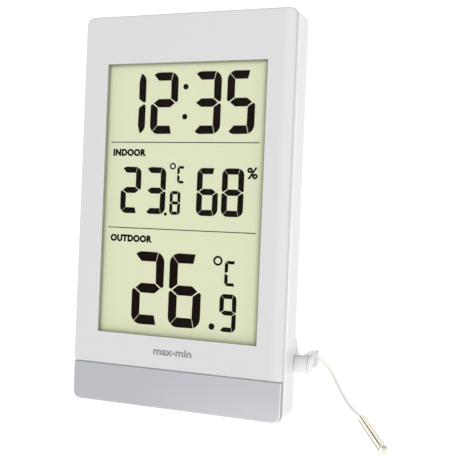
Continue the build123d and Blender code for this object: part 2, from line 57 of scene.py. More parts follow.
def stationMatrix():
    hook = findByName(record["mounts"], "wall_hook")
    slide = findByName(record["behaviour"]["joints"], "door_slide")
    back = Vector(hook["axis"]).normalized()
    up = -Vector(slide["axis"]).normalized()
    origin = Vector(hook["pos_m"]) - back * station["hookDepth"] * mm - up * station["hookHeight"] * mm
    turn = Matrix((Vector((1, 0, 0)), back, up)).transposed().to_4x4()
    return Matrix.Translation(origin) @ turn @ Matrix.Scale(mm, 4)


upright = stationMatrix()


def onStation(x, y, z):
    return upright @ Vector((x, y, z))


cameraSet = {"place": (0.14549, -0.33355, 0.12246), "looks": (-0.35747, 0.92654, -0.11717),
             "right": (0.93309, 0.35962, -0.00301), "lens": 64.64, "sensor": 36.0, "shiftY": -0.01304}


def makeCamera(k):
    data = bpy.data.cameras.new("camera")
    data.lens = k["lens"]
    data.sensor_width = k["sensor"]
    data.shift_y = k["shiftY"]
    data.clip_start = 0.01
    cam = bpy.data.objects.new("camera", data)
    scene.collection.objects.link(cam)
    looks = Vector(k["looks"]).normalized()
    right = Vector(k["right"]).normalized()
    turn = Matrix((right, right.cross(looks), -looks)).transposed().to_4x4()
    cam.matrix_world = Matrix.Translation(k["place"]) @ turn
    scene.camera = cam


makeCamera(cameraSet)
print("camera in place")


# mesh helpers
def newPiece(name, mesh, material):
    piece = bpy.data.objects.new(name, mesh)
    scene.collection.objects.link(piece)
    piece.data.materials.append(material)
    return piece


def meshFrom(name, bm, matrix=None):
    if matrix:
        bm.transform(matrix)
    bmesh.ops.recalc_face_normals(bm, faces=bm.faces)
    mesh = bpy.data.meshes.new(name)
    bm.to_mesh(mesh)
    bm.free()
    return mesh


def smoothByAngle(piece, degrees):
    for face in piece.data.polygons:
        face.use_smooth = True
    piece.data.set_sharp_from_angle(angle=math.radians(degrees))


def joinLoops(bm, here, there):
    for i in range(len(here)):
        j = (i + 1) % len(here)
        bm.faces.new((here[i], here[j], there[j], there[i]))


def closeEnds(bm, loops):
    bm.faces.new(loops[0])
    bm.faces.new(list(reversed(loops[-1])))


# closed prism from a flat outline of (x, z) points between two depths
def addPrism(bm, outline, y0, y1):
    front = [bm.verts.new((x, y0, z)) for x, z in outline]
    rear = [bm.verts.new((x, y1, z)) for x, z in outline]
    joinLoops(bm, rear, front)
    closeEnds(bm, (front, rear))


def arc(cx, cz, radius, start, end, steps=6):
    turn = [math.radians(start + (end - start) * i / steps) for i in range(steps + 1)]
    return [(cx + radius * math.cos(a), cz + radius * math.sin(a)) for a in turn]


# flat ring with square edges
def addRing(bm, cx, cz, outer, inner, y0, y1, steps=40):
    loops = []
    for radius, y in ((outer, y0), (outer, y1), (inner, y1), (inner, y0)):
        loops.append([bm.verts.new((x, y, z)) for x, z in arc(cx, cz, radius, 0, 360, steps)[:-1]])
    for k in range(4):
        joinLoops(bm, loops[k], loops[(k + 1) % 4])


# solid of revolution: (along, radius) points in mm about a line from base
def addLathe(bm, base, ahead, profile, steps=28):
    side = ahead.orthogonal().normalized()
    over = ahead.cross(side)
    rings = []
    for along, radius in profile:
        centre = base + ahead * along * mm
        ways = [side * x + over * z for x, z in arc(0, 0, 1, 0, 360, steps)[:-1]]
        rings.append([bm.verts.new(centre + way * radius * mm) for way in ways])
    for here, there in zip(rings, rings[1:]):
        joinLoops(bm, here, there)
    closeEnds(bm, rings)


# a number that changes over a surface; sums on it add Math nodes
class Level:
    def __init__(self, shade, socket):
        self.shade = shade
        self.socket = socket

    def mathWith(self, operation, first, second):
        return self.shade.add("ShaderNodeMath", {"operation": operation}, {0: first, 1: second})

    def __add__(self, other):
        return self.mathWith("ADD", self, other)

    def __radd__(self, other):
        return self.mathWith("ADD", other, self)

    def __sub__(self, other):
        return self.mathWith("SUBTRACT", self, other)

    def __rsub__(self, other):
        return self.mathWith("SUBTRACT", other, self)

    def __mul__(self, other):
        return self.mathWith("MULTIPLY", self, other)

    def __rmul__(self, other):
        return self.mathWith("MULTIPLY", other, self)

    def __truediv__(self, other):
        return self.mathWith("DIVIDE", self, other)

    def __rtruediv__(self, other):
        return self.mathWith("DIVIDE", other, self)

    def least(self, other):
        return self.mathWith("MINIMUM", self, other)

    def most(self, other):
        return self.mathWith("MAXIMUM", self, other)

    def size(self):
        return self.mathWith("ABSOLUTE", self, 0.0)

    def root(self):
        return self.mathWith("SQRT", self, 0.0)

    def __gt__(self, other):
        return self.mathWith("GREATER_THAN", self, other)

    def __lt__(self, other):
        return self.mathWith("LESS_THAN", self, other)

    # 0 below low, 1 above high, an S curve between
    def eased(self, low, high):
        return self.shade.add("ShaderNodeMapRange", {"interpolation_type": "SMOOTHSTEP"},
                              {"Value": self, "From Min": low, "From Max": high})

    # 1 between two limits, eased at both
    def within(self, riseLow, riseHigh, fallLow, fallHigh):
        return self.eased(riseLow, riseHigh) * (1.0 - self.eased(fallLow, fallHigh))


# one material and the nodes in it
class Shade:
    def __init__(self, name):
        self.material = bpy.data.materials.new(name)
        self.material.use_nodes = True
        self.tree = self.material.node_tree
        self.tree.nodes.clear()
        self.outlet = self.tree.nodes.new("ShaderNodeOutputMaterial")

    def add(self, kind, settings=None, values=None, output=0):
        node = self.tree.nodes.new(kind)
        for key, value in (settings or {}).items():
            if key == "stops":
                self.setRamp(node.color_ramp, value)
            else:
                setattr(node, key, value)
        for key, value in (values or {}).items():
            socket = node.inputs[key]
            if isinstance(value, Level):
                self.tree.links.new(value.socket, socket)
            else:
                socket.default_value = value
        return Level(self, node.outputs[output])

    def setRamp(self, ramp, stops):
        while len(ramp.elements) > 1:
            ramp.elements.remove(ramp.elements[0])
        ramp.elements[0].position, ramp.elements[0].color = stops[0]
        for place, colour in stops[1:]:
            ramp.elements.new(place).color = colour

    def place(self):
        return self.add("ShaderNodeTexCoord", output="Object")

    # mm along a direction, from the frame's origin
    def toward(self, way):
        reach = self.add("ShaderNodeVectorMath", {"operation": "DOT_PRODUCT"},
                         {0: self.place(), 1: way}, "Value")
        return reach * 1000.0

    # mm along one of the station's own axes
    def along(self, x, y, z):
        way = (onStation(x, y, z) - onStation(0, 0, 0)) / mm
        return self.toward(way) - onStation(0, 0, 0).dot(way) / mm

    def across(self):
        return self.along(1, 0, 0)

    def depth(self):
        return self.along(0, 1, 0)

    def height(self):
        return self.along(0, 0, 1)

    def noise(self, scale, detail=3.0, rough=0.55):
        return self.add("ShaderNodeTexNoise", None,
                        {"Vector": self.place(), "Scale": scale, "Detail": detail, "Roughness": rough})

    def bump(self, height, strength, distance):
        return self.add("ShaderNodeBump", None,
                        {"Height": height, "Strength": strength, "Distance": distance})

    def blend(self, share, first, second, mode="MIX"):
        return self.add("ShaderNodeMix", {"data_type": "RGBA", "blend_type": mode},
                        {0: share, 6: first, 7: second}, output=2)

    def finish(self, values):
        skin = self.add("ShaderNodeBsdfPrincipled", None, values)
        self.tree.links.new(skin.socket, self.outlet.inputs["Surface"])
        return self.material


def grey(value):
    return (value, value, value, 1.0)


def dimmed(colour, share):
    return tuple(c * share for c in colour[:3]) + (1,)


# polished white moulding, with a painted highlight on its rolled front edge
caseLook = {"tone": grey(0.885), "dusty": grey(0.83), "edge": (3.6, 4.2), "edgeTone": grey(1.0),
            "gloss": 0.16}


def caseWhite(name, k):
    s = Shade(name)
    ripple = s.noise(180.0, 2.0)
    dust = s.noise(1400.0, 4.0)
    # painted highlight: the rolled front edge is whitened and given a coat
    edge = 1.0 - s.depth().eased(*k["edge"])
    colour = s.blend(edge, s.blend(dust * 0.04, k["tone"], k["dusty"]), k["edgeTone"])
    return s.finish({"Base Color": colour, "Roughness": k["gloss"] + dust * 0.06,
                     "Coat Weight": edge * 0.9, "Coat Roughness": 0.08,
                     "Normal": s.bump(ripple, 0.02, 0.0004)})


# semi-gloss white vinyl of the plug, with painted light: painted shade on the grip's top and bottom rims, in
# the crease at the cap and on the tail, and a painted highlight on the cap end and the tail top
plugLook = {"axis": (17.0, 22.5), "gripEdge": (3.75, 3.8), "tail": grey(0.72), "grip": grey(0.94),
            "dusty": grey(0.74), "shaded": (2.4, 3.7), "shadedTone": grey(0.58), "capHighlightFrom": (55.0, 55.15),
            "capHighlightFade": (14.6, 17.6), "creaseShade": (54.7, 54.8, 55.05, 55.15), "creaseShadeTone": grey(0.42),
            "tailTopHighlight": (25.6, 26.2), "tailHighlightStop": (55.1, 55.3), "paintedHighlight": grey(1.0)}


def plugWhite(name, k):
    s = Shade(name)
    dust = s.noise(1100.0, 4.0)
    x = s.across()
    y = s.depth()
    z = s.height()
    outY = y - k["axis"][0]
    outZ = z - k["axis"][1]
    grip = 1.0 - (outY * outY + outZ * outZ).root().eased(*k["gripEdge"])
    # dust speckle, and a darker tone on the tail than on the grip: painted shade
    tone = s.blend(dust * 0.05, s.blend(grip, k["tail"], k["grip"]), k["dusty"])
    # painted shade on the grip's top and bottom rims
    tone = s.blend(outZ.size().eased(*k["shaded"]) * grip * 0.7, tone, k["shadedTone"])
    # painted highlight on the cap end of the grip
    tone = s.blend(x.eased(*k["capHighlightFrom"]) * grip * (1.0 - y.eased(*k["capHighlightFade"])), tone, k["paintedHighlight"])
    # painted shade in the crease at the cap
    tone = s.blend(x.within(*k["creaseShade"]) * grip * 0.85, tone, k["creaseShadeTone"])
    # painted highlight on the tail's top, stopping short of its outer face
    top = z.eased(*k["tailTopHighlight"]) * (1.0 - x.eased(*k["tailHighlightStop"])) * (1.0 - grip)
    return s.finish({"Base Color": s.blend(top, tone, k["paintedHighlight"]), "Roughness": 0.26 + dust * 0.08,
                     "Normal": s.bump(dust, 0.04, 0.0002)})


# satin silver-grey moulding: a painted highlight at the right and along the window's bevel, painted shade at
# the window's lip, on the left edge and on its rolled edge
faceLook = {"dark": grey(0.762), "pale": grey(0.796), "right": (42.0, 46.0), "rightHighlightTone": grey(0.875),
            "bevel": (0.35, 0.6), "bevelHighlightTone": grey(0.95), "lip": (0.06, 0.2),
            "lipTone": (0.42, 0.43, 0.36, 1), "leftEdgeShade": (47.9, 48.3), "leftShadeTone": grey(0.55),
            "rimShade": (0.25, 0.6), "rimShadeTone": grey(0.70), "rimShadeBeyond": (44.0, 164.0, 19.0)}


def facePlate(name, k):
    s = Shade(name)
    flake = s.noise(5200.0, 2.0, 0.8)
    cloud = s.noise(45.0, 2.0)
    side = s.across()
    up = s.height()
    skin = s.blend(flake, k["dark"], k["pale"])
    # painted highlight towards the right edge
    skin = s.blend(side.eased(*k["right"]) * 0.6, skin, k["rightHighlightTone"])
    offWindow = (side.size() - station["windowHalf"]).most(up - station["windowHigh"])
    offWindow = offWindow.most(station["windowLow"] - up)
    # painted highlight along the window's bevel
    skin = s.blend(0.3 - offWindow.eased(*k["bevel"]) * 0.3, skin, k["bevelHighlightTone"])
    # painted shade on the window's lip
    skin = s.blend(1.0 - offWindow.eased(*k["lip"]), skin, k["lipTone"])
    # painted shade along the left edge
    skin = s.blend((0.0 - side).eased(*k["leftEdgeShade"]), skin, k["leftShadeTone"])
    # painted shade on the rolled outer edge, beyond the window's surround
    half, high, low = k["rimShadeBeyond"]
    outside = (side.size() - half).most(up - high).most(low - up)
    skin = s.blend(s.depth().eased(*k["rimShade"]) * outside.eased(0.0, 0.5), skin, k["rimShadeTone"])
    return s.finish({"Base Color": skin, "Roughness": 0.4 + (cloud - 0.5) * 0.08, "Specular IOR Level": 0.4,
                     "Normal": s.bump(flake, 0.05, 0.0001)})


# silver lacquer of the lower strip: painted light, lighter towards the right and the lower right, with
# painted shade on its rolled edge and a painted highlight line inside it
stripLook = {"left": (0.53, 0.545, 0.575, 1), "right": (0.60, 0.61, 0.64, 1), "sweep": (-30.0, 52.0),
             "low": (0.67, 0.68, 0.70, 1), "lowLightFrom": 14.0, "fleck": (0.42, 0.43, 0.46, 1), "corner": 3.5,
             "edge": (0.1, 0.5), "edgeTone": (0.38, 0.39, 0.42, 1), "highlightLine": (0.42, 0.5, 0.72, 0.82),
             "highlightLineFrom": (44.0, 46.6), "highlightLineTone": grey(0.99)}


def baseLacquer(name, k):
    s = Shade(name)
    flake = s.noise(5200.0, 2.0, 0.8)
    cloud = s.noise(60.0, 2.0)
    side = s.across()
    up = s.height()
    # painted light: lighter towards the right
    right = side.eased(*k["sweep"])
    base = s.blend(right, k["left"], k["right"])
    # painted light: lighter still near the bottom on the right
    base = s.blend((k["lowLightFrom"] - up).eased(0.0, 12.0) * right * 0.8, base, k["low"])
    skin = s.blend(flake * 0.12, base, k["fleck"])
    overX = (side.size() - station["faceHalf"] + k["corner"]).most(0.0)
    underZ = (k["corner"] - up).most(0.0)
    inset = k["corner"] - (overX * overX + underZ * underZ).root()    # distance in from the outline
    # painted shade on the rolled edge
    skin = s.blend((1.0 - inset.eased(*k["edge"])) * 0.75, skin, k["edgeTone"])
    # painted highlight line just inside the right edge
    skin = s.blend(inset.within(*k["highlightLine"]) * side.eased(*k["highlightLineFrom"]), skin, k["highlightLineTone"])
    return s.finish({"Base Color": skin, "Metallic": 0.15, "Roughness": 0.34 + (cloud - 0.5) * 0.08,
                     "Specular IOR Level": 0.3, "Normal": s.bump(flake, 0.04, 0.0001)})


def plainPlastic(name, colour, roughness, grain=900.0, depth=0.15):
    s = Shade(name)
    speck = s.noise(grain, 5.0)
    return s.finish({"Base Color": s.blend(speck * 0.6, colour, dimmed(colour, 0.86)),
                     "Roughness": roughness + (speck - 0.5) * 0.12, "Normal": s.bump(speck, depth, 0.0001)})


def brightMetal(name, colour, roughness):
    s = Shade(name)
    lines = s.noise(1400.0, 3.0, 0.5)
    haze = s.noise(420.0, 3.0)
    return s.finish({"Base Color": s.blend(haze * 0.25, colour, dimmed(colour, 0.8)), "Metallic": 1.0,
                     "Roughness": roughness + haze * 0.08 + lines * 0.04,
                     "Normal": s.bump(lines, 0.03, 0.0001)})


# drawn nickel sleeve: painted reflection, warm on one side and pale on the other, a painted contact shadow
# where it lies, duller at its spun end
probeLook = {"ahead": (0.433, -0.901, 0.0), "aside": (0.901, 0.433, 0.0), "warmReflection": (0.84, 0.79, 0.67, 1),
             "pale": (0.99, 0.985, 0.97, 1), "reflectionSplit": (66.6, 67.2), "contactShadow": (0.30, 0.27, 0.13, 1),
             "contactShadowBelow": (1.7, 2.2), "contactShadowEnd": (70.6, 71.4), "spunEnd": (70.3, 70.9),
             "rimTint": (0.80, 0.75, 0.63, 1), "gloss": 0.02}


def probeMetal(name, k):
    s = Shade(name)
    lines = s.noise(1400.0, 3.0, 0.5)
    haze = s.noise(420.0, 3.0)
    ahead = s.toward(k["ahead"])
    # painted reflection: the pale side against the warm side
    pale = 1.0 - s.toward(k["aside"]).eased(*k["reflectionSplit"])
    # painted contact shadow on the underside, fading out at the spun end
    low = 1.0 - s.toward((0, 0, 1)).eased(*k["contactShadowBelow"])
    skin = s.blend(haze * 0.25, k["warmReflection"], dimmed(k["warmReflection"], 0.8))
    skin = s.blend(pale, skin, k["pale"])
    skin = s.blend(low * pale * (1.0 - ahead.eased(*k["contactShadowEnd"])), skin, k["contactShadow"])
    dull = k["gloss"] + haze * 0.08 + lines * 0.04 + ahead.eased(*k["spunEnd"]) * 0.3
    return s.finish({"Base Color": skin, "Specular Tint": k["rimTint"], "Metallic": 1.0, "Roughness": dull,
                     "Normal": s.bump(lines, 0.03, 0.0001)})


# pale yellow-green field of the display, in soft shade under the window's top and right edges
fieldLook = {"tone": (0.866, 0.903, 0.634, 1), "streak": (0.845, 0.88, 0.605, 1), "reach": 3.0,
             "offTop": 0.5, "offRight": -0.5, "offLeft": 1.7, "offLow": 1.7,
             "shade": [(0.0, 0.38), (0.2, 0.59), (0.35, 0.72), (0.5, 0.84), (0.65, 0.93), (0.8, 0.985),
                       (1.0, 1.0)]}


def displayField(name, k):
    s = Shade(name)
    side = s.across()
    up = s.height()
    field = s.blend(s.noise(240.0, 2.0) * 0.1, k["tone"], k["streak"])
    inside = (station["windowHigh"] + k["offTop"] - up).least(station["windowHalf"] + k["offRight"] - side)
    inside = inside.least(side + station["windowHalf"] + k["offLeft"])
    inside = inside.least(up - station["windowLow"] + k["offLow"])
    stops = [(place, grey(tone)) for place, tone in k["shade"]]
    shade = s.add("ShaderNodeValToRGB", {"stops": stops}, {"Fac": inside / k["reach"]})
    return s.finish({"Base Color": s.blend(1.0, field, shade, "MULTIPLY"), "Roughness": 0.55,
                     "Specular IOR Level": 0.1})


def segmentInk(name):
    s = Shade(name)
    colour = s.blend(s.noise(1500.0, 2.0), (0.006, 0.002, 0.001, 1), (0.010, 0.004, 0.003, 1))
    return s.finish({"Base Color": colour, "Roughness": 0.6, "Specular IOR Level": 0.05})


# clear window: nearly all light passes, a weak gloss stays
def clearWindow(name):
    s = Shade(name)
    haze = s.noise(600.0, 2.0)
    return s.finish({"Base Color": grey(0.02), "Roughness": 0.04 + haze * 0.03, "Alpha": 0.018 + haze * 0.006,
                     "Specular IOR Level": 0.5})


# soft translucent vinyl of the lead
def ivoryVinyl(name):
    s = Shade(name)
    mottle = s.noise(700.0, 3.0)
    colour = s.blend(mottle, (0.97, 0.965, 0.87, 1), (0.99, 0.985, 0.92, 1))
    return s.finish({"Base Color": colour, "Roughness": 0.28 + mottle * 0.1, "Subsurface Weight": 0.1,
                     "Subsurface Scale": 0.0008, "Subsurface Radius": (1.0, 0.9, 0.5),
                     "Normal": s.bump(mottle, 0.08, 0.0002)})


# solder mask with darker tracks and small pads
boardLook = {"mask": (0.012, 0.11, 0.035, 1), "track": (0.02, 0.15, 0.05, 1), "pad": (0.05, 0.27, 0.10, 1),
             "speck": (0.01, 0.09, 0.03, 1)}


def boardGreen(name, k):
    s = Shade(name)
    flat = s.add("ShaderNodeMapping", None, {"Vector": s.place(), "Rotation": (1.5708, 0, 0)})
    tracks = s.add("ShaderNodeTexBrick", {"offset": 0.5},
                   {"Vector": flat, "Scale": 90.0, "Mortar Size": 0.03, "Color1": k["mask"],
                    "Color2": k["track"], "Mortar": k["pad"]})
    speck = s.noise(500.0, 3.0)
    return s.finish({"Base Color": s.blend(speck * 0.3, tracks, k["speck"]), "Roughness": 0.3 + speck * 0.15,
                     "Normal": s.bump(speck, 0.1, 0.0001)})


# battery sleeve: dark blue body with a copper band near one end
cellLook = {"body": (0.02, 0.045, 0.13, 1), "band": (0.55, 0.26, 0.10, 1), "bandFrom": 13.0, "bandTo": 24.2,
            "worn": (0.01, 0.01, 0.02, 1)}


def cellSleeve(name, k):
    s = Shade(name)
    x = s.across()
    speck = s.noise(900.0, 3.0)
    band = (x > k["bandFrom"]) * (x < k["bandTo"])
    body = s.blend(band, k["body"], k["band"])
    return s.finish({"Base Color": s.blend(speck * 0.2, body, k["worn"]), "Metallic": 0.35,
                     "Roughness": 0.28 + speck * 0.1, "Normal": s.bump(speck, 0.04, 0.0001)})


finishes = {
    "face_silver": facePlate("faceSilver", faceLook),
    "strip_silver": baseLacquer("stripSilver", stripLook),
    "clear_window": clearWindow("clearWindow"),
    "lcd_panel": displayField("displayField", fieldLook),
    "reflector_film": brightMetal("reflectorFilm", (0.75, 0.75, 0.72, 1), 0.4),
    "inner_white": plainPlastic("innerWhite", (0.72, 0.72, 0.70, 1), 0.5),
    "soft_rubber": plainPlastic("softRubber", (0.03, 0.03, 0.032, 1), 0.75, 1600.0, 0.35),
    "board_green": boardGreen("boardGreen", boardLook),
    "screw_steel": brightMetal("screwSteel", (0.56, 0.56, 0.55, 1), 0.32),
    "chip_resin": plainPlastic("chipResin", (0.012, 0.012, 0.012, 1), 0.22),
    "bright_nickel": brightMetal("brightNickel", (0.72, 0.69, 0.62, 1), 0.18),
    "sensor_white": plainPlastic("sensorWhite", (0.78, 0.78, 0.75, 1), 0.5),
    "bead_glass": plainPlastic("beadGlass", (0.20, 0.07, 0.02, 1), 0.15),
    "switch_black": plainPlastic("switchBlack", (0.02, 0.02, 0.02, 1), 0.45),
    "socket_black": plainPlastic("socketBlack", (0.02, 0.02, 0.021, 1), 0.42),
    "case_white": caseWhite("caseWhite", caseLook),
    "cell_jacket": cellSleeve("cellSleeve", cellLook),
    "button_grey": plainPlastic("buttonGrey", (0.42, 0.43, 0.45, 1), 0.42, 1500.0, 0.2),
    "plug_white": plugWhite("plugWhite", plugLook),
    "cable_ivory": ivoryVinyl("cableIvory"),
    "probe_nickel": probeMetal("probeNickel", probeLook),
    "seal_grey": plainPlastic("sealGrey", (0.05, 0.042, 0.032, 1), 0.5),
}
for part in record["subparts"]:
    node = frame["nodes"][part["node"]]
    for holder in node.material_slots:
        holder.material = finishes[part["material_slot"]]
print("finishes on", len(record["subparts"]), "moulded and metal pieces")

# mm: exit is in the upright drawing, route and mouth in the standing frame before shiftY moves them in y
lead = {"exit": (53.9, 30.11, 22.5), "mouth": (77.1, 5.48, 1.5), "shiftY": -10.33,
        "route": [(54.3, 21.80, 20.90), (58.8, 23.90, 15.60), (62.2, 22.20, 10.40), (66.2, 18.90, 5.30),
                  (71.0, 14.20, 2.10), (74.9, 9.95, 1.50)],
        "width": 1.45, "web": 0.85, "faces": (0.215, -0.926, 0.315), "sway": 16.0, "sways": 1.3,
        "sleeve": [(0.0, 1.0), (0.3, 0.98), (0.9, 0.85), (1.0, 0.76)]}


def leadPoints(k):
    points = [onStation(*k["exit"])]
    for x, y, z in k["route"] + [k["mouth"]]:
        points.append(Vector((x, y + k["shiftY"], z)) * mm)
    return points


def routeCurve(points):
    data = bpy.data.curves.new("leadRoute", "CURVE")
    data.dimensions = "3D"
    data.resolution_u = 16
    spline = data.splines.new("NURBS")
    spline.points.add(len(points) - 1)
    for slot, point in zip(spline.points, points):
        slot.co = (*point, 1)
    spline.order_u = 3
    spline.use_endpoint_u = True
    return data


# mesh of a curve or a text, made by Blender and then taken off its object
def meshOf(name, data):
    holder = bpy.data.objects.new(name, data)
    scene.collection.objects.link(holder)
    bpy.context.view_layer.update()
    mesh = bpy.data.meshes.new_from_object(holder)
    bpy.data.objects.remove(holder)
    return mesh


# outline of two cores side by side, joined by a shallow web
def pairSection(k, steps=10):
    r = k["width"] / 4 + 0.04
    right = arc(k["width"] / 2 - r, 0.0, r, -96, 96, steps) + [(0.0, k["web"] * r)]
    return right + [(-x, -z) for x, z in right]


def makeLead(k):
    path = [v.co.copy() for v in meshOf("leadRoute", routeCurve(leadPoints(k))).vertices]
    section = pairSection(k)
    faces = Vector(k["faces"])
    travelled = [0.0]
    for a, b in zip(path, path[1:]):
        travelled.append(travelled[-1] + (b - a).length)
    bm = bmesh.new()
    rings = []
    for i, point in enumerate(path):
        ahead = (path[min(i + 1, len(path) - 1)] - path[max(i - 1, 0)]).normalized()
        side = ahead.cross(faces).normalized()
        over = ahead.cross(side)
        turn = math.radians(k["sway"] * math.sin(2 * math.pi * k["sways"] * travelled[i] / travelled[-1]))
        u = side * math.cos(turn) + over * math.sin(turn)
        v = ahead.cross(u)
        rings.append([bm.verts.new(point + (u * x + v * z) * mm) for x, z in section])
    for here, there in zip(rings, rings[1:]):
        joinLoops(bm, here, there)
    closeEnds(bm, rings)
    piece = newPiece("sensorLead", meshFrom("sensorLead", bm), finishes["cable_ivory"])
    smoothByAngle(piece, 60)
    return piece, path, travelled[-1]


# short tapered sleeve where the lead leaves the plug's tail
def makeSleeve(k, path):
    bm = bmesh.new()
    addLathe(bm, path[0], (path[2] - path[0]).normalized(), k["sleeve"])
    piece = newPiece("leadSleeve", meshFrom("leadSleeve", bm), finishes["plug_white"])
    smoothByAngle(piece, 50)
    return piece


# right-angle plug: lathed grip, then the tail as a side outline of (y, z) points from the socket's axis
plug = {"near": 48.95, "axis": (17.0, 22.5),
        "grip": [(0.0, 3.4), (0.3, 3.7), (5.6, 3.7), (5.68, 3.6), (5.9, 3.6), (5.98, 3.68), (6.3, 3.6),
                 (6.6, 3.44), (6.85, 3.22), (7.0, 2.96), (7.06, 2.7), (7.1, 1.6), (7.11, 0.2)],
        "tail": [(0.0, -2.3), (12.7, -2.3), (13.6, 4.4), (1.6, 4.4), (0.0, 3.6)],
        "tailNear": 3.4, "tailFar": 6.5, "bevel": 0.32}


def makeGrip(k):
    bm = bmesh.new()
    right = (onStation(1, 0, 0) - onStation(0, 0, 0)).normalized()
    addLathe(bm, onStation(k["near"], *k["axis"]), right, k["grip"], 64)
    piece = newPiece("plugGrip", meshFrom("plugGrip", bm), finishes["plug_white"])
    smoothByAngle(piece, 40)
    return piece


def makeTail(k):
    y, z = k["axis"]
    bm = bmesh.new()
    loops = []
    for reach in (k["tailNear"], k["tailFar"]):
        loops.append([bm.verts.new(onStation(k["near"] + reach, y + dy, z + dz)) for dy, dz in k["tail"]])
    joinLoops(bm, loops[1], loops[0])
    closeEnds(bm, loops)
    bmesh.ops.bevel(bm, geom=bm.edges[:], offset=k["bevel"] * mm, segments=2, affect="EDGES")
    piece = newPiece("plugTail", meshFrom("plugTail", bm), finishes["plug_white"])
    smoothByAngle(piece, 40)
    return piece


leadPiece, leadPath, leadLength = makeLead(lead)
leadSleeve = makeSleeve(lead, leadPath)
plugGrip = makeGrip(plug)
plugTail = makeTail(plug)
for piece in (plugGrip, plugTail):
    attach(piece, "lead")
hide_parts("plug_body")
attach(leadPiece, "lead")
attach(leadSleeve, "lead")
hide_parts("sensor_cable")
print("sensor lead", round(leadLength * 1000, 1), "mm")

# a digit is seven bars in a box: x0, z0, wide w, high h, upright strokes v thick, level strokes l thick
display = {
    "depth": 0.03, "inFront": 0.035, "gap": 0.26, "smallGap": 0.6, "smallBelow": 11, "spread": 1.1,
    "digits": [
        ("timeTensHour", "1", -31.8, 117.6, 12.8, 26.6, 3.4, 3.6),
        ("timeHour", "2", -16.5, 117.6, 12.8, 26.6, 3.4, 3.6),
        ("timeTensMinute", "3", 3.4, 117.6, 12.8, 26.6, 3.4, 3.6),
        ("timeMinute", "5", 18.8, 117.6, 12.6, 26.6, 3.4, 3.6),
        ("indoorTens", "2", -29.5, 83.0, 9.8, 20.3, 2.6, 2.6),
        ("indoorOnes", "3", -17.6, 83.0, 9.8, 20.3, 2.6, 2.6),
        ("indoorTenth", "8", -5.7, 83.0, 5.0, 10.2, 1.4, 1.4),
        ("humidTens", "6", 6.7, 83.0, 9.8, 20.3, 2.6, 2.6),
        ("humidOnes", "8", 18.1, 83.0, 9.8, 20.3, 2.6, 2.6),
        ("outdoorTens", "2", -22.0, 35.1, 15.0, 31.6, 3.9, 4.2),
        ("outdoorOnes", "6", -4.4, 35.1, 15.0, 31.6, 3.9, 4.2),
        ("outdoorTenth", "9", 19.2, 35.0, 7.5, 15.8, 1.95, 1.95),
        ("indoorUnit", "C", -2.6, 96.5, 4.1, 7.4, 1.15, 1.1),
        ("outdoorUnit", "C", 20.9, 54.1, 5.7, 10.6, 1.5, 1.35),
    ],
    "dots": [("colonUpper", -0.2, 137.8, 1.2), ("colonLower", -0.2, 125.0, 1.2),
             ("indoorPoint", -7.5, 83.2, 0.75), ("outdoorPoint", 16.0, 36.8, 1.35)],
    "rings": [("indoorDegree", -4.8, 103.8, 1.45, 0.8), ("outdoorDegree", 17.7, 64.5, 2.08, 1.25)],
    "rules": [("ruleUpper", -35.0, 34.0, 114.0, 0.36), ("ruleLower", -35.0, 34.0, 76.6, 0.36)],
    "labels": [("indoorLabel", "INDOOR", 0.066, (-33.9, 107.95, -17.9, 111.1)),
               ("outdoorLabel", "OUTDOOR", 0.066, (-33.6, 70.5, -13.4, 73.65)),
               ("humidLabel", "%", 0.028, (29.1, 98.9, 33.8, 103.8))],
}
barsOf = {"1": "bc", "2": "abged", "3": "abgcd", "5": "afgcd", "6": "afgedc", "8": "abcdefg", "9": "abcdfg",
          "C": "afed"}


# outlines of the seven bars: round outer corners, mitred on the left, nearly upright gaps on the right
def barOutlines(w, h, v, l, gap):
    g = gap / 2
    r = 1.15 * v
    mid = h / 2
    top = h - l
    inner = w - v
    lean = 0.0625 * w
    trim = math.degrees(g / r)
    rightStart = math.degrees(math.acos(min(1.0, (inner + lean + g - w + r) / r)))
    upperBar = arc(r, h - r, r, 135 - trim, 90)
    upperBar += [(inner + lean - g, h - 0.03 * v), (inner - g, top), (v + g, top)]
    rightBar = arc(w - r, h - r, r, rightStart, 0)
    rightBar += [(w, mid + 0.26 * v), (w - 0.24 * v, mid + 0.08 * v),
                 (inner + 0.04 * v, mid + l / 2 + 0.05 * v), (inner, top), (inner + g, top + 0.4 * g)]
    leftBar = [(0, mid + 0.26 * v)] + arc(r, h - r, r, 180, 135 + trim)
    leftBar += [(v, top - 1.2 * g), (v, mid + l / 2 + 0.1 * v), (0.26 * v, mid + 0.09 * v)]
    bars = {"a": upperBar, "b": rightBar, "f": leftBar}
    for name, other in {"a": "d", "b": "c", "f": "e"}.items():
        bars[other] = [(x, h - z) for x, z in reversed(bars[name])]
    bars["g"] = [(0.41 * v, mid), (1.1 * v, mid + l / 2), (inner - 0.07 * v, mid + l / 2),
                 (w - 0.42 * v, mid), (inner - 0.07 * v, mid - l / 2), (1.1 * v, mid - l / 2)]
    return bars


ink = segmentInk("segmentInk")
inkDepths = (station["glass"] - display["inFront"], station["glass"] - display["inFront"] + display["depth"])


def rideStation(piece):
    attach(piece, "station")


def inkPiece(name, bm):
    rideStation(newPiece(name, meshFrom("displayInk", bm, upright), ink))


def inkPrism(name, outlines):
    bm = bmesh.new()
    for outline in outlines:
        addPrism(bm, outline, *inkDepths)
    inkPiece(name, bm)


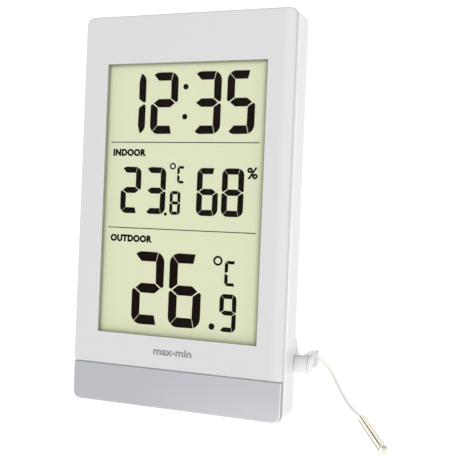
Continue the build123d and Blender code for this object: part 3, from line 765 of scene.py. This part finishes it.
# a word fitted to a box of (x0, z0, x1, z1) between two depths; behind: it is read from the back
def wordPiece(name, text, box, depths, material, weight, spread=1.0, behind=False):
    data = bpy.data.curves.new(name, "FONT")
    data.body = text
    data.space_character = spread
    data.size = 1.0
    data.offset = weight
    data.extrude = 0.5
    data.resolution_u = 4
    mesh = meshOf(name, data)
    x0, z0, x1, z1 = box
    xs = [v.co.x for v in mesh.vertices]
    zs = [v.co.y for v in mesh.vertices]
    across = (x1 - x0) / (max(xs) - min(xs))
    tall = (z1 - z0) / (max(zs) - min(zs))
    for v in mesh.vertices:
        x = x0 + (v.co.x - min(xs)) * across
        z = z0 + (v.co.y - min(zs)) * tall
        depth = depths[0] + (0.5 - v.co.z) * (depths[1] - depths[0])
        v.co = onStation(x0 + x1 - x if behind else x, depth, z)
    bm = bmesh.new()
    bm.from_mesh(mesh)
    bmesh.ops.remove_doubles(bm, verts=bm.verts, dist=1e-7)
    return newPiece(name, meshFrom(name, bm), material)


for name, figure, x0, z0, w, h, v, l in display["digits"]:
    gap = display["gap"] * (display["smallGap"] if w <= display["smallBelow"] else 1.0)
    bars = barOutlines(w, h, v, l, gap)
    inkPrism(name, [[(x0 + x, z0 + z) for x, z in bars[bar]] for bar in barsOf[figure]])
for name, x, z, radius in display["dots"]:
    inkPrism(name, [arc(x, z, radius, 0, 360, 32)[:-1]])
for name, x, z, outer, inner in display["rings"]:
    bm = bmesh.new()
    addRing(bm, x, z, outer, inner, *inkDepths)
    inkPiece(name, bm)
for name, x0, x1, z, thick in display["rules"]:
    low = z - thick / 2
    high = z + thick / 2
    inkPrism(name, [[(x0, low), (x1, low), (x1, high), (x0, high)]])
for name, text, weight, box in display["labels"]:
    rideStation(wordPiece(name, text, box, inkDepths, ink, weight, display["spread"]))
print("display drawn")

# printed mark under the display
faceMark = {"text": "max-min", "box": (-9.5, 22.9, 8.3, 26.1), "depths": (-0.02, 0.01),
            "tone": (0.30, 0.30, 0.31, 1), "weight": 0.03}
markInk = plainPlastic("markInk", faceMark["tone"], 0.5)
markPiece = wordPiece("faceMark", faceMark["text"], faceMark["box"], faceMark["depths"], markInk,
                      faceMark["weight"])
rideStation(markPiece)

# words by the buttons on the back
backMarks = {"tone": (0.45, 0.45, 0.46, 1), "depths": (station["back"] - 0.03, station["back"] + 0.06),
             "weight": 0.01,
             "words": [("setMark", "SET", (-30.0, 109.5, -24.0, 111.7)),
                       ("plusMark", "+", (-10.3, 109.3, -7.7, 111.9)),
                       ("maxMinMark", "MAX/MIN", (3.0, 109.5, 15.0, 111.7)),
                       ("unitMark", "°C/°F", (23.0, 109.5, 31.0, 111.8)),
                       ("resetMark", "RESET", (-3.6, 116.6, 3.6, 118.2))]}
backInk = plainPlastic("backInk", backMarks["tone"], 0.5)
for name, text, box in backMarks["words"]:
    word = wordPiece(name, text, box, backMarks["depths"], backInk, backMarks["weight"], behind=True)
    rideStation(word)
print("marks printed")

studio = {"sky": 0.5, "floorSize": 3.0, "floorTone": 0.25, "floorGlow": 0.98, "sweepStart": 1.0,
          "sweepRadius": 0.8, "wallHigh": 3.2, "target": (0, 0, 0.08), "card": (0.035, 0.028, 0.012, 1),
          "softboxes": [("frontSoftbox", (-0.25, -1.3, 0.55), (0.9, 0.7), 2.9),
                        ("rimSoftbox", (1.35, -0.52, 0.22), (0.05, 0.7), 1.0)],
          "flags": [("rightFlag", (0.75, 0.75, 0.2), (0.5, 0.9)),
                    ("backFlag", (-1.02, 1.17, 0.60), (0.5, 0.36))]}


def stageWhite(name, tone, glow):
    s = Shade(name)
    speck = s.noise(40.0, 2.0)
    return s.finish({"Base Color": s.blend(speck * 0.02, grey(tone), grey(tone * 0.98)), "Roughness": 0.9,
                     "Emission Color": grey(1.0), "Emission Strength": glow})


# floor that curves up into a back wall
def makeSweep(k):
    start = k["sweepStart"]
    radius = k["sweepRadius"]
    profile = [(-k["floorSize"], 0.0)]
    profile += [(start - y, z + radius) for y, z in arc(0, 0, radius, -90, -180, 9)]
    profile += [(start + radius, k["wallHigh"])]
    bm = bmesh.new()
    left = [bm.verts.new((-k["floorSize"], y, z)) for y, z in profile]
    right = [bm.verts.new((k["floorSize"], y, z)) for y, z in profile]
    for i in range(len(profile) - 1):
        bm.faces.new((left[i], right[i], right[i + 1], left[i + 1]))
    white = stageWhite("studioWhite", k["floorTone"], k["floorGlow"])
    sweep = newPiece("studioSweep", meshFrom("studioSweep", bm), white)
    for face in sweep.data.polygons:
        face.use_smooth = True


def aimed(place):
    aim = (Vector(studio["target"]) - Vector(place)).normalized()
    return Matrix.Translation(place) @ aim.to_track_quat("-Z", "Y").to_matrix().to_4x4()


def softbox(name, place, size, power):
    data = bpy.data.lights.new(name, "AREA")
    data.shape = "RECTANGLE"
    data.size = size[0]
    data.size_y = size[1]
    data.energy = power
    lamp = bpy.data.objects.new(name, data)
    scene.collection.objects.link(lamp)
    lamp.matrix_world = aimed(place)


# dark card that gives the glossy edges and the metal something to mirror
def flag(name, place, size, material):
    bm = bmesh.new()
    bmesh.ops.create_grid(bm, x_segments=1, y_segments=1, size=0.5)
    newPiece(name, meshFrom(name, bm, aimed(place) @ Matrix.Diagonal((*size, 1, 1))), material)


def makeSky(strength):
    world = bpy.data.worlds.new("studioAir")
    world.use_nodes = True
    air = world.node_tree.nodes["Background"]
    air.inputs["Color"].default_value = grey(1.0)
    air.inputs["Strength"].default_value = strength
    scene.world = world


makeSweep(studio)
makeSky(studio["sky"])
darkCard = plainPlastic("darkCard", studio["card"], 0.9)
for name, place, size, power in studio["softboxes"]:
    softbox(name, place, size, power)
for name, place, size in studio["flags"]:
    flag(name, place, size, darkCard)
print("studio lit")
